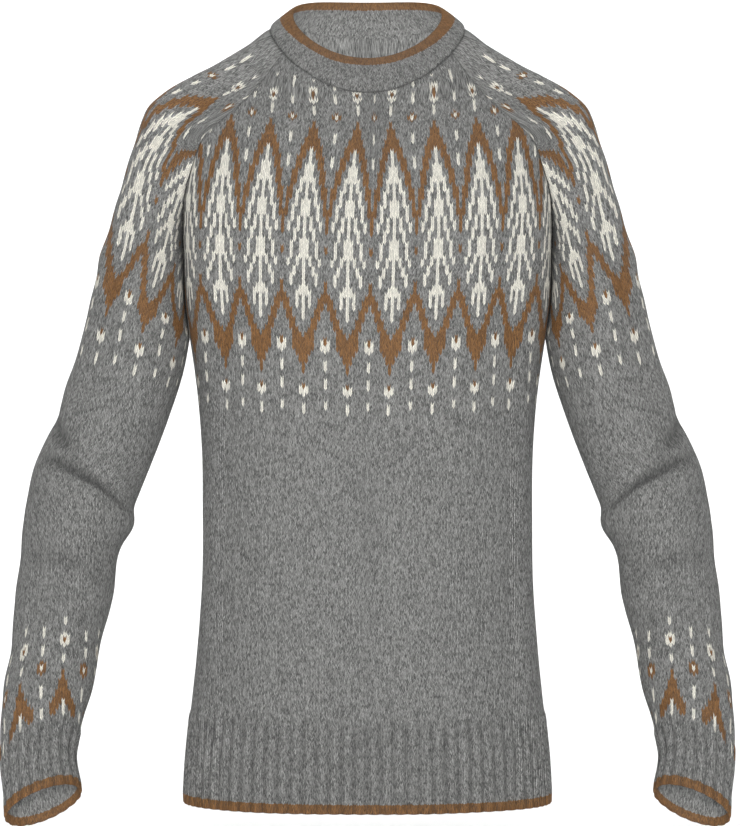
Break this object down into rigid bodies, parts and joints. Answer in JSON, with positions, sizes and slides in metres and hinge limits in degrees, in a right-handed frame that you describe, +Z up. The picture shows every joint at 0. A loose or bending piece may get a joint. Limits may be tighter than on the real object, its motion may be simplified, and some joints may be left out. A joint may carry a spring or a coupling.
{
  "type": "sweater",
  "caption": "Crew-neck knitted sweater with raglan sleeves, patterned yoke and cuffs, ribbed hem and cuffs and a folded neck band, hollow as if worn.",
  "frame": {"origin": "between the wearer's shoulders, level with the side of the neck, where the yoke rests on the wearer", "axes": "+Z up, along the body; the front faces -Y; the wearer's left sleeve is on +X"},
  "size_m": [0.6644, 0.286, 0.7571],
  "materials": {
    "knit_wool": "felted stocking-stitch wool, heather grey with brown and off-white pattern yarns",
    "band_wool": "folded wool band, heather grey with a brown top edge"
  },
  "bodies": {
    "root": {"front": "knit_wool", "back": "knit_wool", "sleeve_left": "knit_wool", "sleeve_right": "knit_wool", "collar": "band_wool"}
  },
  "joints": []
}
